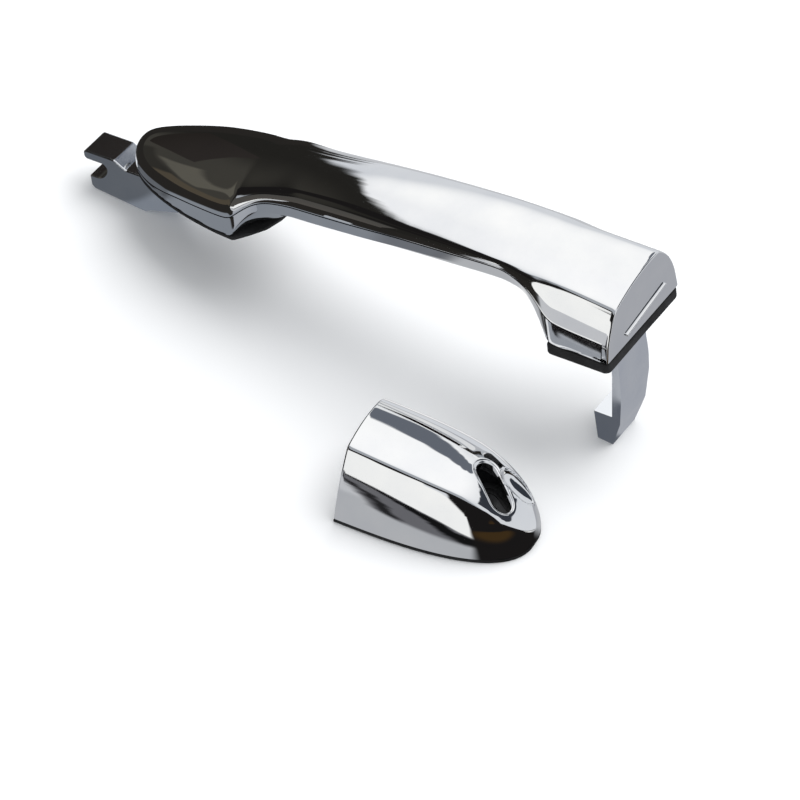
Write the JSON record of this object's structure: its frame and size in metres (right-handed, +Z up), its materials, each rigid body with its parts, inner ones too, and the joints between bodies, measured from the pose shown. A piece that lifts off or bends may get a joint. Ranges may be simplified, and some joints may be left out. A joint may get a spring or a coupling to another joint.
{
  "type": "car door handle",
  "caption": "Outside car door handle: chrome strap grip with hinge arm and latch leg, and a loose end cap with a key slot.",
  "frame": {"origin": "centre of the standing set's footprint, on the table that its arm, leg and end cap stand on", "axes": "+X from the hinge arm to the latch end of the grip, +Y from the end cap's side to the grip's side, +Z up, away from the door"},
  "size_m": [0.1814, 0.0898, 0.0582],
  "materials": {
    "chrome": "mirror-polished",
    "plated": "satin zinc plating",
    "rubber": "matte",
    "nylon": "moulded",
    "steel": "zinc plated"
  },
  "bodies": {
    "door_side": {"front_gasket": "rubber", "rear_gasket": "rubber"},
    "grip": {"grip_shell": "chrome", "grip_back": "chrome", "grip_carrier": "nylon", "hinge_arm": "plated", "latch_leg": "plated", "arm_screw_1": "steel", "arm_screw_2": "steel", "leg_screw_1": "steel", "leg_screw_2": "steel", "back_screw_1": "steel", "back_screw_2": "steel", "back_screw_3": "steel", "back_screw_4": "steel"},
    "end_cap": {"cap_shell": "chrome", "cap_carrier": "nylon", "cap_gasket": "rubber", "cylinder_seal": "rubber", "cap_screw_1": "steel", "cap_screw_2": "steel"}
  },
  "joints": [
    {"name": "grip_pull", "type": "hinge", "parent": "door_side", "child": "grip", "pos_m": [-0.08603, 0.02856, 0.00763], "axis": [0, -1, 0], "range_deg": [0, 7.5]},
    {"name": "cap_lift", "type": "slide", "parent": "door_side", "child": "end_cap", "axis": [0, 0, 1], "range_m": [0, 0.03]}
  ]
}
